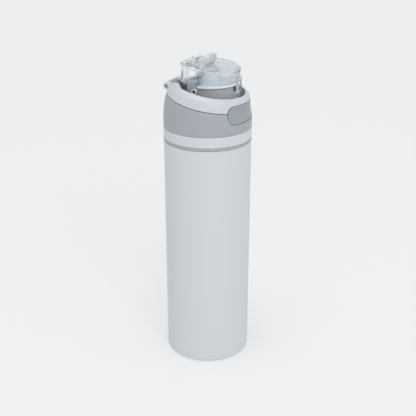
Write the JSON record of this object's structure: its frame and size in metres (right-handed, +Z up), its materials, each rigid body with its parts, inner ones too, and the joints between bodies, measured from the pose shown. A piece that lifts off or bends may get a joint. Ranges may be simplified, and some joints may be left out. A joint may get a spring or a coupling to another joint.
{
  "type": "water bottle",
  "caption": "Insulated steel drinking bottle with a screw lid, clear flip cap over a spout, push-button latch and a swinging carry ring.",
  "frame": {"origin": "on the bottle's axis, on the underside of the base pad, where the bottle stands", "axes": "+Z up along the bottle's axis, the push button faces -Y, and both hinges lie on the +Y side"},
  "size_m": [0.0726, 0.0726, 0.2645],
  "materials": {
    "white_coat": "satin white powder coat",
    "steel": "brushed",
    "dark_steel": "blackened",
    "grey_plastic": "fine satin",
    "button_plastic": "satin",
    "white_plastic": "semi-gloss",
    "clear_plastic": "clear moulded",
    "silicone": "matt translucent",
    "grey_rubber": "matt"
  },
  "bodies": {
    "bottle": {"outer_shell": "white_coat", "inner_liner": "steel", "outer_base_cap": "steel", "vacuum_getter": "dark_steel", "base_pad": "grey_rubber"},
    "lift_ring": {"bumper_ring": "grey_rubber"},
    "lid": {"trim_band": "white_coat", "thread_core": "grey_plastic", "neck_seal": "silicone", "mouthpiece_gasket": "silicone", "vent_valve": "silicone", "lid_shell": "grey_plastic", "mouthpiece": "white_plastic", "hinge_bracket": "clear_plastic", "pivot_bush_left": "white_plastic", "pivot_bush_right": "white_plastic", "pivot_rivet_left": "dark_steel", "pivot_rivet_right": "dark_steel", "cap_hinge_pin_left": "steel", "cap_hinge_pin_right": "steel", "button_spring": "steel"},
    "cap": {"flip_cap": "clear_plastic", "seal_plug": "silicone"},
    "ring": {"carry_ring": "white_coat", "ring_hinge_pin": "steel"},
    "button": {"release_button": "button_plastic", "latch_slider": "white_plastic"}
  },
  "joints": [
    {"name": "lid_turn", "type": "hinge", "parent": "lift_ring", "child": "lid", "pos_m": [0, 0, 0.21], "axis": [0, 0, 1], "range_deg": [0, 540]},
    {"name": "lid_lift", "type": "slide", "parent": "bottle", "child": "lift_ring", "axis": [0, 0, 1], "range_m": [0, 0.0091]},
    {"name": "cap_flip", "type": "hinge", "parent": "lid", "child": "cap", "pos_m": [0, 0.0133, 0.2572], "axis": [-1, 0, 0], "range_deg": [0, 165]},
    {"name": "ring_swing", "type": "hinge", "parent": "lid", "child": "ring", "pos_m": [0, 0.031, 0.2375], "axis": [-1, 0, 0], "range_deg": [0, 100]},
    {"name": "button_press", "type": "slide", "parent": "lid", "child": "button", "axis": [0, 1, 0], "range_m": [0, 0.002], "stiffness_N_per_m": 400, "springref_m": -0.001, "deforming": ["button_spring"]}
  ],
  "couplings": [
    {"joint": "lid_lift", "follows": "lid_turn", "m_per_rad": 0.00095493}
  ]
}
